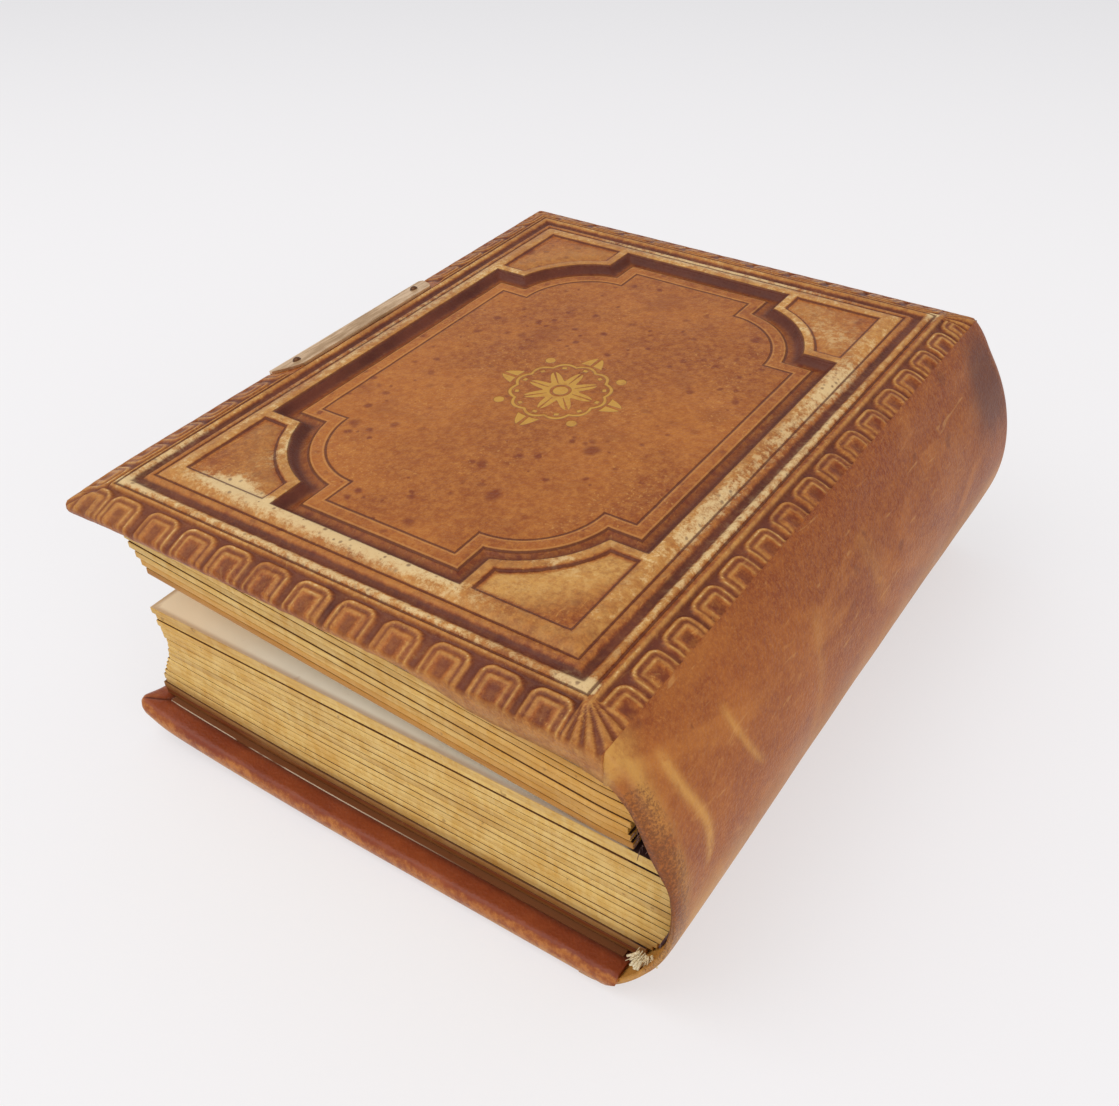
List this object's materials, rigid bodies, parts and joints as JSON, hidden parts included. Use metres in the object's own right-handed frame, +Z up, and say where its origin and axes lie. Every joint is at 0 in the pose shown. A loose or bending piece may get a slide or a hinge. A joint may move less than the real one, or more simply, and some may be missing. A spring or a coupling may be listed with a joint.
{
  "type": "leather photo album",
  "caption": "Thick antique photo album: embossed tan leather boards, rounded leather spine, gilt-edged card leaves with the upper ones fanned apart, and a brass clasp on the fore edge.",
  "frame": {"origin": "centre of the album's bounding box on the table it lies on", "axes": "+X from the fore edge towards the spine, +Y along the spine from the head to the tail, +Z up from the back cover to the front cover"},
  "size_m": [0.1432, 0.158, 0.0687],
  "materials": {
    "tan_leather": "satin, worn and mottled",
    "millboard": "matte board",
    "endpaper": "matte paper",
    "gilt_edged_card": "satin gilt edges on card",
    "lining_cloth": "matte cloth and paper",
    "frayed_thread": "matte thread",
    "worn_brass": "worn, dull"
  },
  "bodies": {
    "back_cover": {"back_board": "millboard", "back_cover_leather": "tan_leather", "back_endpaper": "endpaper", "catch_plate": "worn_brass", "catch_stud": "worn_brass", "catch_rivets": "worn_brass"},
    "book_block": {"leaf_block": "gilt_edged_card", "spine_cover_leather": "tan_leather", "spine_lining": "lining_cloth", "headband_remnant": "frayed_thread"},
    "front_cover": {"front_board": "millboard", "front_cover_leather": "tan_leather", "front_endpaper": "endpaper", "clasp_plate": "worn_brass", "clasp_rivets": "worn_brass", "clasp_pin": "worn_brass"},
    "hasp": {"hasp": "worn_brass"}
  },
  "joints": [
    {"name": "back_cover_hinge", "type": "hinge", "parent": "back_cover", "child": "book_block", "pos_m": [0.05858, 0, 0.0031], "axis": [0, 1, 0], "range_deg": [0, 180]},
    {"name": "front_cover_hinge", "type": "hinge", "parent": "book_block", "child": "front_cover", "pos_m": [0.05858, 0, 0.0649], "axis": [0, 1, 0], "range_deg": [0, 180]},
    {"name": "hasp_hinge", "type": "hinge", "parent": "front_cover", "child": "hasp", "pos_m": [-0.06918, 0.00265, 0.0616], "axis": [0, 1, 0], "range_deg": [0, 135]}
  ]
}
